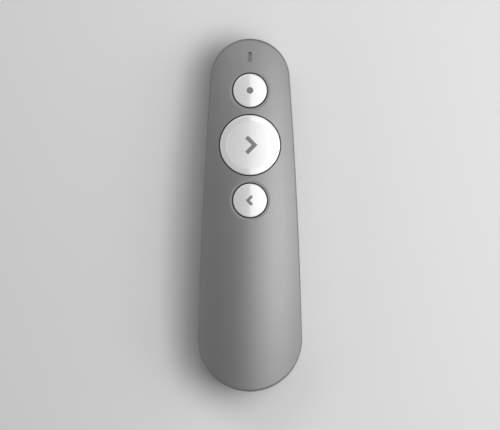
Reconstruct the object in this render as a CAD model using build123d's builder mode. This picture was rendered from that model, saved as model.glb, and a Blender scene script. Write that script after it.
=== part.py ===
"""Wireless presentation clicker, in millimetres.

X runs across the body, +Y points at the nose where the laser leaves, and +Z at the thumb.
The clicker lies on its back: the flat of its belly is at Z = 0, under the middle of its length.
"""

from build123d import *
import math
import os

os.makedirs("parts", exist_ok=True)

# Body: a long drop outline, a crowned top and a flat belly that rises towards the nose
length = 136.0
height = 24.0
tail_radius = 20.1
nose_radius = 15.3
side_radius = 2300.0
crown_y = -12.0
crown_radius_along = 420.0
crown_radius_across = 42.0
crown_half_angle = 12.0
top_edge_radius = 1.0
belly_edge_radius = 8.5
belly_flat_end = 14.0
nose_rise_radius = 560.0
wall = 1.7
parting_height = 11.0
seam = 0.2
tongue_start = 9.7
tongue_height = 1.2
lap_gap = 0.1
inner_gap = 0.5
rib_floor = 16.5
rib_depth = 1.3
rib_width = 1.0
rib_middle = -34.0
rib_pitch = 12.0
rib_count = 4

# Buttons, from the nose to the tail
button_rise = 0.4
button_edge = 0.45
button_skin = 1.2
press_travel = 0.4
laser_button_y = 47.95
next_button_y = 26.9
back_button_y = 5.6
small_cap_radius = 6.5
small_hole_radius = 6.95
large_cap_radius = 11.6
large_hole_radius = 12.0
seat_width = 0.95
seat_depth = 0.15
dish_radius = 9.3
dish_depth = 0.45
dish_radius_across = 55.0
dish_radius_along = 150.0
dish_draft = 15.0
mark_depth = 0.3
mark_room = 2.0
laser_dot_radius = 1.3
next_mark_apex = 1.76
next_mark_reach = 3.1
next_mark_stroke = 1.56
back_mark_apex = -0.91
back_mark_reach = 1.72
back_mark_stroke = 1.1
small_collar_wall = 1.4
large_collar_wall = 1.0
small_collar_depth = 3.6
large_collar_depth = 4.4
small_roof_drop = 1.9
large_roof_drop = 2.7
rest_gap = 0.1
post_radius = 1.6
post_rib = 1.0
post_gap = 0.05
small_flange_reach = 0.95
large_flange_reach = 0.5
flange_height = 1.0
key_width = 2.0
key_depth = 1.5
key_gap = 0.25

# Status light slot near the nose
slot_y = 60.9
slot_length = 3.9
slot_width = 1.45
lens_depth = 0.75
lens_gap = 0.05
lens_nose_gap = 0.3
pipe_arm_width = 2.6
led_y = 57.6
led_width = 0.8
led_length = 1.6
led_ends = 0.5
led_foot = 0.3
led_top = 0.35
led_draft = 8.0

# Circuit board
board_floor = 12.2
board_thickness = 1.0
board_top = board_floor + board_thickness
board_inset = 2.7
board_tail = -9.1
board_nose = 60.0
board_corner = 1.5
switch_height = 1.4
switch_side = 5.2
plate_thickness = 0.2
plate_corner = 0.4
stem_radius = 1.2
stem_flange = 0.3
stem_edge = 0.2
fit_gap = 0.05
stem_spare = 0.2
stem_top = board_top + switch_height + plate_thickness + press_travel + stem_spare
pipe_top = board_top + 2.1
part_bevel = 0.12
crystal_place = (-7.4, 39.4)
crystal_size = (3.2, 2.5, 0.8)
antenna_place = (-7.6, 54.2)
antenna_size = (7.0, 2.0, 0.9)
power_chip_place = (6.8, -4.0)
power_chip_size = (1.7, 2.9, 1.1)
capacitor_size = (1.6, 0.8, 0.8)
chip_place = (7.6, 33.2)
chip_side = 5.0
chip_height = 0.9
pin_dot_inset = 0.8
pin_dot_radius = 0.35
pin_dot_depth = 0.1
coil_place = (-7.2, -3.4)
coil_width = 4.4
coil_height = 2.0
coil_flange = 0.5
coil_corner = 0.6
coil_core_radius = 1.7
capacitor_places = [
    (-2.6, 33.6),
    (-2.6, 31.2),
    (7.6, 40.2),
    (7.6, 38.0),
    (10.4, -4.0),
    (3.6, -5.6),
    (3.6, -2.6),
]

# Two AAA cells, side by side and head to tail
cell_radius = 5.25
cell_length = 44.5
nub_radius = 1.9
nub_length = 1.0
cell_shoulder = 0.9
cell_heel = 0.5
cell_x = 5.6
cell_height = 8.2
bay_wall = 1.45
bay_floor = 3.2
bay_ceiling = 15.1
bay_tail = -60.4
bay_nose = -10.8
contact_thickness = 0.3
contact_bump = 0.9
bump_radius = 2.6
bump_taper = 40.0
spring_length = 3.6
spring_radius = 3.4
spring_taper = 20.0
spring_turns = 3.5
wire_radius = 0.28
tab_width = 2.0
tab_end = -6.6
tab_gap = 0.2
cell_gap = 0.3
plate_width = 7.4
plate_tall = 8.0
bridge_width = 18.8
bridge_tall = 7.2
bridge_corner = 1.0
bridge_gap = 0.4

# USB receiver, stored across the body ahead of the cells
receiver_length = 18.7
receiver_width = 14.4
receiver_thickness = 6.1
receiver_y = -1.9
receiver_floor = 2.7
plug_width = 12.0
plug_thickness = 4.5
plug_length = 12.2
plug_metal = 0.3
plug_hole = 2.4
plug_hole_pitch = 5.4
tongue_thickness = 1.9
receiver_corner = 1.6
receiver_edge = 1.2
receiver_gap = 0.5
well_ceiling = 10.4
bulkhead = 1.4

# Battery cover and its slide
cover_front = 8.0
rail_floor = 8.2
rail_top = 9.4
rail_reach = 15.7
rail_tail = -52.0
rail_nose = 6.0
hook_floor = 9.55
hook_top = 10.7
hook_reach = 14.3
hook_length = 6.0
hook_places = (-45.0, -24.0, -3.0)
grip_y = -2.5
grip_width = 17.0
grip_length = 9.0
grip_depth = 0.7
grip_ribs = 5
grip_pitch = 1.5
grip_rib_length = 12.0
grip_rib_width = 0.8
grip_rib_drop = 0.15
pad_width = 17.0
pad_length = 34.0
pad_corner = 2.0
pad_thickness = 1.1

# Laser module
laser_height = 7.8
barrel_radius = 3.0
barrel_back = 52.6
barrel_front = 63.2
barrel_lip = 1.4
barrel_bevel = 0.3
beam_radius = 1.3
lens_radius = 2.3
lens_thickness = 1.6
lens_curve = 3.2
diode_radius = 1.8
diode_length = 2.2
diode_room = 0.8
diode_flange_radius = 2.8
diode_flange = 1.2
lead_circle = 1.27
lead_radius = 0.22
cradle_places = (55.0, 60.5)
cradle_width = 9.2
cradle_thickness = 1.2
cradle_gap = 0.03
window_radius = 1.9
window_flange_radius = 2.5
window_flange = 1.2
window_recess = 0.3
window_boss_radius = 3.6
window_seat = 65.3
window_boss_back = 63.6
driver_back_gap = 1.6
driver_width = 8.0
driver_tall = 7.4
driver_thickness = 0.8
pin_pitch = 2.54
pin_width = 0.6

# Screws
screw_head_radius = 1.8
screw_head_height = 1.3
screw_radius = 1.0
screw_edge = 0.4
screw_tip = 0.6
cross_length = 2.2
cross_width = 0.5
cross_depth = 0.7
head_gap = 0.2
head_recess = 1.5
pass_gap = 0.15
bite_gap = 0.05
case_shank = 4.6
board_shank = 5.0
case_screw_places = [(-14.8, -50.0), (14.8, -50.0), (-14.8, -16.0), (14.8, -16.0)]
lug_floor = 11.2
lug_top = 14.4
lug_width = 5.4
lug_length = 6.0
boss_radius = 2.0
boss_hole_depth = 3.4
board_screw_places = [(-11.0, 14.5), (11.0, 14.5), (0.0, 38.8)]
board_post_radius = 2.1
board_rest_places = [(-9.5, 53.5), (9.5, 53.5)]
board_rest_radius = 1.5

upper_floor = parting_height + seam / 2
lower_ceiling = parting_height - seam / 2

# The sides are one long arc, tangent to the tail's circle and to the nose's.
# The three centres make a triangle, whose angles are the sweeps of the two end arcs.
ends_apart = length - tail_radius - nose_radius
tail_reach = side_radius - tail_radius
nose_reach = side_radius - nose_radius


def sweep_beside(near, far):
    """Degrees of an end arc, from the distances of the side arc's centre to both end centres."""
    return math.degrees(math.acos((near**2 + ends_apart**2 - far**2) / (2 * near * ends_apart)))


tail_sweep = sweep_beside(tail_reach, nose_reach)
nose_sweep = sweep_beside(nose_reach, tail_reach)


def crown_height(y):
    """Height of the top's middle line at a place along the body."""
    return height - crown_radius_along + math.sqrt(crown_radius_along**2 - (y - crown_y) ** 2)


def plan_outline(inset):
    """The body's outline from above, set in by a distance."""
    with BuildSketch() as outline:
        with BuildLine():
            tail = JernArc((0, inset - length / 2), (1, 0), tail_radius - inset, tail_sweep)
            side = JernArc(tail @ 1, tail % 1, side_radius - inset, 180 - tail_sweep - nose_sweep)
            JernArc(side @ 1, side % 1, nose_radius - inset, nose_sweep)
            mirror(about=Plane.YZ)
        make_face()
    return outline.sketch


def upper_form(inset, floor=upper_floor):
    """Closed upper half of the body, set in by a distance all round and standing on a floor."""
    across = crown_radius_across - inset
    crown_centre = Plane((0, crown_y, height - crown_radius_along), (1, 0, 0), (0, -1, 0))
    with BuildPart() as form:
        with BuildSketch(Plane.XY.offset(floor)):
            add(plan_outline(inset))
        extrude(amount=height + 1 - floor)
        with BuildSketch(crown_centre.rotated((-crown_half_angle, 0, 0))):
            with Locations((0, crown_radius_along - crown_radius_across)):
                Circle(across)
        revolve(
            axis=Axis(crown_centre.origin, (1, 0, 0)),
            revolution_arc=2 * crown_half_angle,
            mode=Mode.INTERSECT,
        )
        if inset < top_edge_radius:
            rim = form.faces().filter_by(GeomType.TORUS).sort_by(Axis.Z)[-1].edges()
            fillet(rim, top_edge_radius - inset)
    return form.part


def lower_form(inset, ceiling=lower_ceiling):
    """Closed lower half of the body, set in by a distance all round and ending at a ceiling."""
    with BuildPart() as form:
        with BuildSketch(Plane.XY.offset(ceiling)):
            add(plan_outline(inset))
        extrude(amount=-(ceiling + 1))
        with BuildSketch(Plane.YZ):
            with BuildLine():
                flat = Line((-length, inset), (belly_flat_end, inset))
                rise = JernArc(flat @ 1, (1, 0), nose_rise_radius - inset, 10)
                Polyline(rise @ 1, (length, 2 * height), (-length, 2 * height), flat @ 0)
            make_face()
        extrude(amount=length, both=True, mode=Mode.INTERSECT)
        low_edges = form.edges().filter_by(lambda edge: edge.bounding_box().max.Z < ceiling - 1)
        fillet(low_edges, belly_edge_radius - inset)
    return form.part


def inner_space(inset):
    """The whole body set in by a distance, for trimming what stands inside it."""
    with BuildPart() as space:
        add(upper_form(inset, parting_height))
        add(lower_form(inset, parting_height))
    return space.part


# Upper shell
button_sites = [
    (laser_button_y, small_hole_radius, small_collar_wall, small_collar_depth),
    (next_button_y, large_hole_radius, large_collar_wall, large_collar_depth),
    (back_button_y, small_hole_radius, small_collar_wall, small_collar_depth),
]

with BuildPart() as crown_ribs:
    # Low ribs across the roof of the tail
    with BuildSketch(Plane.XY.offset(rib_floor)):
        with Locations((0, rib_middle)):
            with GridLocations(0, rib_pitch, 1, rib_count):
                Rectangle(2 * tail_radius, rib_width)
    extrude(amount=height)
    add(upper_form(wall + rib_depth), mode=Mode.SUBTRACT)

with BuildPart() as upper_hollow:
    add(upper_form(wall))
    add(crown_ribs.part, mode=Mode.SUBTRACT)
    # Collars that guide the buttons, each with two keys that stop its button from turning
    for site_y, hole_radius, collar_wall, collar_depth in button_sites:
        collar_floor = crown_height(site_y) - collar_depth
        with BuildSketch(Plane.XY.offset(collar_floor)):
            with Locations((0, site_y)):
                Circle(hole_radius + collar_wall)
        extrude(amount=height, mode=Mode.SUBTRACT)
        with BuildSketch(Plane.XY.offset(collar_floor)):
            with Locations((0, site_y)):
                Rectangle(2 * (hole_radius + collar_wall), key_width)
        extrude(amount=-key_depth, mode=Mode.SUBTRACT)
    # Bosses over the case screws
    with BuildSketch(Plane.XY.offset(lug_top)):
        with Locations(case_screw_places):
            Circle(boss_radius)
    extrude(amount=height, mode=Mode.SUBTRACT)

with BuildPart() as upper_shell:
    add(upper_form(0))
    add(upper_hollow.part, mode=Mode.SUBTRACT)
    for site_y, hole_radius, collar_wall, collar_depth in button_sites:
        with BuildSketch(Plane.XY.offset(parting_height)):
            with Locations((0, site_y)):
                Circle(hole_radius)
        extrude(amount=height, mode=Mode.SUBTRACT)
    with BuildSketch(Plane.XY.offset(parting_height)):
        with Locations((0, slot_y)):
            SlotOverall(slot_length, slot_width, rotation=90)
    extrude(amount=height, mode=Mode.SUBTRACT)
    # Step that laps over the lower shell's tongue
    with BuildSketch(Plane.XY.offset(upper_floor)):
        add(plan_outline(wall / 2 + lap_gap))
        with Locations((0, tongue_start - 3 * lap_gap - length)):
            Rectangle(length, 2 * length, mode=Mode.SUBTRACT)
    extrude(amount=tongue_height + lap_gap, mode=Mode.SUBTRACT)
    for screw_place in case_screw_places:
        with BuildSketch(Plane.XY.offset(lug_top)):
            with Locations(screw_place):
                Circle(screw_radius + bite_gap)
        extrude(amount=boss_hole_depth, mode=Mode.SUBTRACT)
    # Bevelled seats round the two small buttons
    for seat_y in (laser_button_y, back_button_y):
        crown = upper_shell.faces().filter_by(GeomType.TORUS).sort_by(SortBy.AREA)[-1]
        seat_rim = crown.edges().filter_by(lambda edge: abs(edge.center().Y - seat_y) < 1)
        chamfer(seat_rim, seat_width, seat_depth, reference=crown)


# Lower shell: the front skin, with the battery bay and receiver well behind its bulkhead
cell_room = cell_radius + cell_gap
bay_end = cover_front + bulkhead / 2
bay_half_width = cell_x + cell_room + bay_wall

with BuildPart() as bay:
    with BuildSketch(Plane.XY.offset(bay_floor)):
        with Locations((0, (bay_tail + bay_nose) / 2)):
            Rectangle(2 * bay_half_width, bay_nose - bay_tail + 2 * bay_wall)
    extrude(amount=bay_ceiling - bay_floor)
    with BuildSketch(Plane.XY.offset(bay_floor)):
        with Locations((0, (bay_nose + bay_end) / 2)):
            Rectangle(2 * bay_half_width, bay_end - bay_nose)
    extrude(amount=well_ceiling - bay_floor)
    # Rails that carry the battery cover
    with BuildSketch(Plane.XY.offset(rail_floor)):
        with Locations((0, (rail_tail + rail_nose) / 2)):
            Rectangle(2 * rail_reach, rail_nose - rail_tail)
    extrude(amount=rail_top - rail_floor)
    # Lugs for the case screws
    with BuildSketch(Plane.XY.offset(lug_floor)):
        with Locations(case_screw_places):
            Rectangle(lug_width, lug_length)
    extrude(amount=lug_top - lug_floor)
    add(inner_space(wall + inner_gap), mode=Mode.INTERSECT)
    # Room for the cells, scalloped over each
    with BuildSketch(Plane.XZ.offset(-bay_nose)):
        with Locations((-cell_x, cell_height), (cell_x, cell_height)):
            Circle(cell_room)
        with Locations((0, cell_height / 2)):
            Rectangle(2 * (cell_x + cell_room), cell_height)
    extrude(amount=bay_nose - bay_tail, mode=Mode.SUBTRACT)
    # Room for the bridge contact against the tail wall
    with BuildSketch(Plane.XZ.offset(-bay_tail)):
        with Locations((0, cell_height)):
            Rectangle(bridge_width + 2 * bridge_gap, bridge_tall + 2 * bridge_gap)
    extrude(amount=-2 * bridge_gap, mode=Mode.SUBTRACT)
    # Room for the receiver
    with BuildSketch(Plane.XY):
        with Locations((0, receiver_y)):
            Rectangle(receiver_length + receiver_gap, receiver_width + receiver_gap)
    extrude(amount=receiver_floor + receiver_thickness, mode=Mode.SUBTRACT)
    # Slots that let the two front contacts through to the board
    with BuildSketch(Plane.XZ.offset(-bay_nose)):
        with Locations((0, board_top + contact_thickness / 2)):
            with GridLocations(2 * cell_x, 1, 2, 1):
                Rectangle(tab_width + 2 * tab_gap, contact_thickness + 2 * tab_gap)
    extrude(amount=-2 * bay_wall, mode=Mode.SUBTRACT)
    # Recessed holes for the case screws
    for screw_place in case_screw_places:
        with BuildSketch(Plane.XY.offset(lug_floor)):
            with Locations(screw_place):
                Circle(screw_head_radius + head_gap)
        extrude(amount=head_recess, mode=Mode.SUBTRACT)
        with BuildSketch(Plane.XY.offset(lug_floor)):
            with Locations(screw_place):
                Circle(screw_radius + pass_gap)
        extrude(amount=lug_top - lug_floor, mode=Mode.SUBTRACT)

with BuildPart() as front_ribs:
    # Boss round the laser window
    with BuildSketch(Plane.XZ.offset(-window_boss_back)):
        with Locations((0, laser_height)):
            Circle(window_boss_radius)
    extrude(amount=-(length / 2 - window_boss_back))
    split(bisect_by=Plane.XY.offset(lower_ceiling), keep=Keep.BOTTOM)
    # Bulkhead between the front skin and the battery cover
    with BuildSketch(Plane.XY):
        with Locations((0, cover_front + seam / 2 + bulkhead / 2)):
            Rectangle(length, bulkhead)
    extrude(amount=well_ceiling)
    # Posts under the circuit board
    with BuildSketch(Plane.XY):
        with Locations(board_screw_places):
            Circle(board_post_radius)
        with Locations(board_rest_places):
            Circle(board_rest_radius)
    extrude(amount=board_floor)
    # Two cradles under the laser barrel
    for cradle_y in cradle_places:
        with BuildSketch(Plane.XZ.offset(-cradle_y)):
            with Locations((0, laser_height / 2)):
                Rectangle(cradle_width, laser_height)
            with Locations((0, laser_height)):
                Circle(barrel_radius + cradle_gap, mode=Mode.SUBTRACT)
        extrude(amount=-cradle_thickness)
    add(lower_form(wall / 2, board_floor), mode=Mode.INTERSECT)
    for screw_place in board_screw_places:
        with BuildSketch(Plane.XY.offset(board_floor)):
            with Locations(screw_place):
                Circle(screw_radius + bite_gap)
        extrude(amount=-board_shank, mode=Mode.SUBTRACT)

with BuildPart() as lower_shell:
    add(lower_form(0))
    add(lower_form(wall), mode=Mode.SUBTRACT)
    # Tongue that laps inside the upper shell
    with BuildSketch(Plane.XY.offset(lower_ceiling)):
        add(plan_outline(wall / 2 + 2 * lap_gap))
        add(plan_outline(wall), mode=Mode.SUBTRACT)
        with Locations((0, tongue_start - length)):
            Rectangle(length, 2 * length, mode=Mode.SUBTRACT)
    extrude(amount=tongue_height)
    split(bisect_by=Plane.XZ.offset(-(cover_front + seam / 2)), keep=Keep.BOTTOM)
    add(front_ribs.part)
    add(bay.part)
    # Stepped hole for the laser window
    with BuildSketch(Plane.XZ.offset(-window_boss_back)):
        with Locations((0, laser_height)):
            Circle(window_flange_radius + 2 * fit_gap)
    extrude(amount=-(window_seat - window_boss_back), mode=Mode.SUBTRACT)
    with BuildSketch(Plane.XZ.offset(-window_boss_back)):
        with Locations((0, laser_height)):
            Circle(window_radius + fit_gap)
    extrude(amount=-length, mode=Mode.SUBTRACT)


# Battery cover, which slides off towards the tail on hooks over the bay's rails
with BuildPart() as cover_hooks:
    with BuildSketch(Plane.XY.offset(hook_floor)):
        for hook_y in hook_places:
            with Locations((0, hook_y)):
                with GridLocations(2 * hook_reach + hook_length, 1, 2, 1):
                    Rectangle(hook_length, hook_length)
    extrude(amount=hook_top - hook_floor)
    add(lower_form(wall / 2), mode=Mode.INTERSECT)

with BuildPart() as battery_cover:
    add(lower_form(0))
    add(lower_form(wall), mode=Mode.SUBTRACT)
    split(bisect_by=Plane.XZ.offset(-(cover_front - seam / 2)), keep=Keep.TOP)
    add(cover_hooks.part)
    # Thumb grip: a shallow recess with ribs across it
    with BuildSketch(Plane.XY):
        with Locations((0, grip_y)):
            SlotOverall(grip_width, grip_length)
    extrude(amount=grip_depth, mode=Mode.SUBTRACT)
    with BuildSketch(Plane.XY.offset(grip_rib_drop)):
        with Locations((0, grip_y)):
            with GridLocations(0, grip_pitch, 1, grip_ribs):
                SlotOverall(grip_rib_length, grip_rib_width)
    extrude(amount=grip_depth)

with BuildPart() as cover_pad:
    with BuildSketch(Plane.XY.offset(wall)):
        with Locations((0, (bay_tail + bay_nose) / 2)):
            RectangleRounded(pad_width, pad_length, pad_corner)
    extrude(amount=pad_thickness)

with BuildPart() as laser_window:
    with BuildSketch(Plane.XZ.offset(window_flange - window_seat)):
        with Locations((0, laser_height)):
            Circle(window_flange_radius)
    extrude(amount=-window_flange)
    with BuildSketch(Plane.XZ.offset(-window_seat)):
        with Locations((0, laser_height)):
            Circle(window_radius)
    extrude(amount=window_seat - length / 2)
    add(lower_form(window_recess), mode=Mode.INTERSECT)

lens_tail = slot_y - slot_length / 2 + lens_gap
lens_nose = slot_y + slot_length / 2 - lens_nose_gap
arm_back = led_y - 1.2
arm_floor = board_top + 0.9
foot_tail = led_y + 1.2
foot_nose = led_y + 2.2

with BuildPart() as light_pipe:
    # Lens in the slot
    with BuildSketch(Plane.XY.offset(pipe_top)):
        with Locations((0, (lens_tail + lens_nose) / 2)):
            SlotOverall(lens_nose - lens_tail, slot_width - 2 * lens_gap, rotation=90)
    extrude(amount=height - pipe_top)
    add(upper_form(lens_depth), mode=Mode.INTERSECT)
    # Arm back over the light, with a slanted mirror face at each end and a foot on the board
    with BuildSketch(Plane.YZ):
        with BuildLine():
            Polyline(
                (arm_back, arm_floor),
                (foot_tail, arm_floor),
                (foot_tail, board_top),
                (foot_nose, board_top),
                (foot_nose, arm_floor),
                (lens_nose - (pipe_top - arm_floor), arm_floor),
                (lens_nose, pipe_top),
                (arm_back + (pipe_top - arm_floor), pipe_top),
                close=True,
            )
        make_face()
    extrude(amount=pipe_arm_width / 2, both=True)


# Buttons
def chevron(apex, reach, stroke):
    """Flat arrowhead mark: two arms at 45 degrees, pointing along X away from the button's middle."""
    way = math.copysign(1, apex)
    half_width = stroke / math.sqrt(8)
    mitre = stroke / math.sqrt(2)
    with BuildSketch() as mark:
        with BuildLine():
            Polyline(
                (apex + way * mitre, 0),
                (apex - way * (reach - half_width), reach + half_width),
                (apex - way * (reach + half_width), reach - half_width),
                (apex - way * mitre, 0),
            )
            mirror(about=Plane.XZ)
        make_face()
    return mark.sketch


def space_over_dish(drop):
    """What lies above the thumb dish: convex across the body, concave along it, lowered by a drop."""
    lean = math.asin((next_button_y - crown_y) / crown_radius_along)
    middle = Vector(0, next_button_y, crown_height(next_button_y) + button_rise - dish_depth - drop)
    upward = Vector(0, math.sin(lean), math.cos(lean))
    along = Vector(0, math.cos(lean), -math.sin(lean))
    axis = Axis(middle - upward * dish_radius_across, along)
    half_turn = 18.0
    room = 7.0
    end_rise = large_cap_radius**2 / (2 * dish_radius_along)
    top_line = dish_radius_across + room
    facing = Vector(1, 0, 0).rotate(axis, -half_turn)
    with BuildPart() as space:
        with BuildSketch(Plane(axis.position, along, facing)):
            with BuildLine():
                bed = ThreePointArc(
                    (-large_cap_radius, dish_radius_across + end_rise),
                    (0, dish_radius_across),
                    (large_cap_radius, dish_radius_across + end_rise),
                )
                Polyline(bed @ 1, (large_cap_radius, top_line), (-large_cap_radius, top_line), bed @ 0)
            make_face()
        revolve(axis=axis, revolution_arc=2 * half_turn)
        with BuildSketch(Plane.XY.offset(middle.Z - mark_room)):
            with Locations((0, next_button_y)):
                Circle(dish_radius - mark_room * math.tan(math.radians(dish_draft)))
        extrude(amount=room, taper=-dish_draft, mode=Mode.INTERSECT)
    return space.part


def inlay(mark, site_y):
    """Solid of a mark let into a crowned cap."""
    with BuildPart() as solid:
        with BuildSketch(Plane.XY.offset(crown_height(site_y) - mark_room)):
            with Locations((0, site_y)):
                add(mark)
        extrude(amount=2 * mark_room)
        add(upper_form(-button_rise), mode=Mode.INTERSECT)
        add(upper_form(mark_depth - button_rise), mode=Mode.SUBTRACT)
    return solid


with BuildSketch() as laser_dot:
    Circle(laser_dot_radius)

laser_mark = inlay(laser_dot.sketch, laser_button_y)
back_mark = inlay(chevron(back_mark_apex, back_mark_reach, back_mark_stroke), back_button_y)

with BuildPart() as next_mark:
    with BuildSketch(Plane.XY.offset(crown_height(next_button_y) - mark_room)):
        with Locations((0, next_button_y)):
            add(chevron(next_mark_apex, next_mark_reach, next_mark_stroke))
    extrude(amount=2 * mark_room)
    add(space_over_dish(mark_depth), mode=Mode.INTERSECT)
    add(space_over_dish(0), mode=Mode.SUBTRACT)


def press_cap(site_y, cap_radius, flange_radius, collar_depth, roof_drop):
    """Button cap: crowned skin, skirt, notched flange under the collar and a post over its switch."""
    top = crown_height(site_y)
    flange_top = top - collar_depth - rest_gap
    flange_floor = flange_top - flange_height
    with BuildPart() as cap:
        with BuildSketch(Plane.XY.offset(flange_floor)):
            with Locations((0, site_y)):
                Circle(cap_radius)
        extrude(amount=height + 1 - flange_floor)
        add(upper_form(-button_rise), mode=Mode.INTERSECT)
        fillet(cap.faces().filter_by(GeomType.TORUS).edges(), button_edge)
        with BuildSketch(Plane.XY.offset(flange_floor)):
            with Locations((0, site_y)):
                Circle(flange_radius)
                Rectangle(2 * length, key_width + 2 * key_gap, mode=Mode.SUBTRACT)
                Circle(cap_radius)
        extrude(amount=flange_height)
        with BuildSketch(Plane.XY.offset(flange_floor)):
            with Locations((0, site_y)):
                Circle(cap_radius - button_skin)
        extrude(amount=top - roof_drop - flange_floor, mode=Mode.SUBTRACT)
        with BuildSketch(Plane.XY.offset(stem_top + post_gap)):
            with Locations((0, site_y)):
                Circle(post_radius)
                Rectangle(4 * post_radius, post_rib)
                Rectangle(post_rib, 4 * post_radius)
        extrude(amount=top - roof_drop - stem_top)
    return cap.part


small_flange = small_hole_radius + small_flange_reach
large_flange = large_hole_radius + large_flange_reach

with BuildPart() as laser_button:
    add(press_cap(laser_button_y, small_cap_radius, small_flange, small_collar_depth, small_roof_drop))
    add(laser_mark.part, mode=Mode.SUBTRACT)

with BuildPart() as next_button:
    add(press_cap(next_button_y, large_cap_radius, large_flange, large_collar_depth, large_roof_drop))
    add(space_over_dish(0), mode=Mode.SUBTRACT)
    add(next_mark.part, mode=Mode.SUBTRACT)

with BuildPart() as back_button:
    add(press_cap(back_button_y, small_cap_radius, small_flange, small_collar_depth, small_roof_drop))
    add(back_mark.part, mode=Mode.SUBTRACT)


# Circuit board and what is soldered to it
with BuildPart() as circuit_board:
    with BuildSketch(Plane.XY.offset(board_floor)) as board_outline:
        add(plan_outline(board_inset))
        with Locations((0, (board_tail + board_nose) / 2)):
            Rectangle(length, board_nose - board_tail, mode=Mode.INTERSECT)
        fillet(board_outline.vertices().group_by(Axis.Y)[0], board_corner)
        with Locations(board_screw_places):
            Circle(screw_radius + pass_gap, mode=Mode.SUBTRACT)
    extrude(amount=board_thickness)


def tactile_switch(site_y):
    """Housing, cover plate, stem and snap dome of one switch."""
    dome_floor = board_top + 0.3
    dome_height = 0.5
    dome_reach = 1.9
    dome_thickness = 0.12
    dome_gap = 0.15
    dome_radius = (dome_reach**2 + dome_height**2) / (2 * dome_height)
    dome_top = dome_floor + dome_height
    plate_floor = board_top + switch_height
    with BuildPart() as housing:
        with BuildSketch(Plane.XY.offset(board_top)):
            with Locations((0, site_y)):
                RectangleRounded(switch_side, switch_side, plate_corner)
        extrude(amount=switch_height)
        with BuildSketch(Plane.XY.offset(dome_floor)):
            with Locations((0, site_y)):
                Circle(dome_reach + dome_gap)
        extrude(amount=switch_height, mode=Mode.SUBTRACT)
    with BuildPart() as plate:
        with BuildSketch(Plane.XY.offset(plate_floor)):
            with Locations((0, site_y)):
                RectangleRounded(switch_side - plate_thickness, switch_side - plate_thickness, plate_corner)
                Circle(stem_radius + fit_gap, mode=Mode.SUBTRACT)
        extrude(amount=plate_thickness)
    with BuildPart() as stem:
        with BuildSketch(Plane.XY.offset(dome_top)):
            with Locations((0, site_y)):
                Circle(dome_reach - 2 * fit_gap)
        extrude(amount=stem_flange)
        with BuildSketch(Plane.XY.offset(dome_top)):
            with Locations((0, site_y)):
                Circle(stem_radius)
        extrude(amount=stem_top - dome_top)
        fillet(stem.edges().group_by(Axis.Z)[-1], stem_edge)
    with BuildPart() as dome:
        with BuildSketch(Plane.XZ.offset(-site_y)):
            with Locations((0, dome_top - dome_radius)):
                Circle(dome_radius)
                Circle(dome_radius - dome_thickness, mode=Mode.SUBTRACT)
            with Locations((dome_reach / 2, dome_floor + dome_height / 2)):
                Rectangle(dome_reach, dome_height, mode=Mode.INTERSECT)
        revolve(axis=Axis((0, site_y, 0), (0, 0, 1)))
    return housing, plate, stem, dome


laser_switch, laser_switch_plate, laser_stem, laser_dome = tactile_switch(laser_button_y)
next_switch, next_switch_plate, next_stem, next_dome = tactile_switch(next_button_y)
back_switch, back_switch_plate, back_stem, back_dome = tactile_switch(back_button_y)


def board_part(places, size):
    """Bevelled blocks of one size that stand on the board."""
    across, along, tall = size
    with BuildPart() as blocks:
        with BuildSketch(Plane.XY.offset(board_top)):
            with Locations(places):
                Rectangle(across, along)
        extrude(amount=tall)
        chamfer(blocks.edges().group_by(Axis.Z)[-1], part_bevel)
    return blocks


radio_crystal = board_part([crystal_place], crystal_size)
chip_antenna = board_part([antenna_place], antenna_size)
power_chip = board_part([power_chip_place], power_chip_size)
small_capacitors = board_part(capacitor_places, capacitor_size)

with BuildPart() as radio_chip:
    add(board_part([chip_place], (chip_side, chip_side, chip_height)).part)
    # Moulded dot that marks the first pin
    with BuildSketch(Plane.XY.offset(board_top + chip_height)):
        with Locations(chip_place):
            with Locations((pin_dot_inset - chip_side / 2, chip_side / 2 - pin_dot_inset)):
                Circle(pin_dot_radius)
    extrude(amount=-pin_dot_depth, mode=Mode.SUBTRACT)

with BuildPart() as power_coil:
    # Square foot, core and round top flange
    with BuildSketch(Plane.XY.offset(board_top)):
        with Locations(coil_place):
            RectangleRounded(coil_width, coil_width, coil_corner)
    extrude(amount=coil_flange)
    with BuildSketch(Plane.XY.offset(board_top)):
        with Locations(coil_place):
            Circle(coil_core_radius)
    extrude(amount=coil_height)
    with BuildSketch(Plane.XY.offset(board_top + coil_height)):
        with Locations(coil_place):
            Circle(coil_width / 2)
    extrude(amount=-coil_flange)

with BuildPart() as status_led:
    # Foot with its two ends bare, and the clear block over the light
    with BuildSketch(Plane.XY.offset(board_top)):
        with Locations((0, led_y)):
            Rectangle(led_width, led_length)
    extrude(amount=led_foot)
    with BuildSketch(Plane.XY.offset(board_top + led_foot)):
        with Locations((0, led_y)):
            Rectangle(led_width, led_length - led_ends)
    extrude(amount=led_top, taper=led_draft)


# Laser module
lens_face = barrel_front - barrel_lip
lens_bore = lens_radius + 2 * fit_gap
diode_bore = diode_radius + 2 * fit_gap
bore_step = barrel_back + diode_length + diode_room
driver_face = barrel_back - diode_flange - driver_back_gap

with BuildPart() as laser_barrel:
    with BuildSketch(Plane.XY.offset(laser_height)):
        with BuildLine():
            Polyline(
                (beam_radius, barrel_front),
                (barrel_radius - barrel_bevel, barrel_front),
                (barrel_radius, barrel_front - barrel_bevel),
                (barrel_radius, barrel_back),
                (diode_bore, barrel_back),
                (diode_bore, bore_step),
                (lens_bore, bore_step),
                (lens_bore, lens_face),
                (beam_radius, lens_face),
                close=True,
            )
        make_face()
    revolve(axis=Axis((0, 0, laser_height), (0, 1, 0)))

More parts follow.
